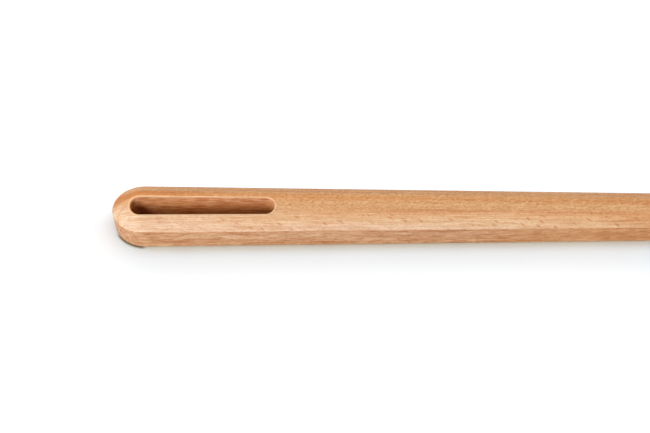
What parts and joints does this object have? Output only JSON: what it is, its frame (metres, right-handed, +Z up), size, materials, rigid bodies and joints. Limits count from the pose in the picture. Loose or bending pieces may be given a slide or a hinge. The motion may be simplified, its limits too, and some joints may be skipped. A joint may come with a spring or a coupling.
{
  "type": "spoon spatula",
  "caption": "Kitchen spoon spatula with a slotted beech handle and a silicone spoon head that pulls off the handle's tenon.",
  "frame": {"origin": "under the middle of the whole length, on the surface that the handle's flat underside rests on", "axes": "+X from the butt of the handle to the tip of the head, +Y across the handle, +Z up out of the flat top and the bowl"},
  "size_m": [0.3242, 0.0574, 0.0166],
  "materials": {
    "beech": "sanded and lightly oiled, fine grain along the handle",
    "silicone": "moulded, matt",
    "nylon": "moulded, glass filled"
  },
  "bodies": {
    "handle": {"handle": "beech"},
    "head": {"head_core": "nylon", "spoon_head": "silicone"}
  },
  "joints": [
    {"name": "head_pull_off", "type": "slide", "parent": "handle", "child": "head", "axis": [1, 0, 0], "range_m": [0, 0.04]}
  ]
}
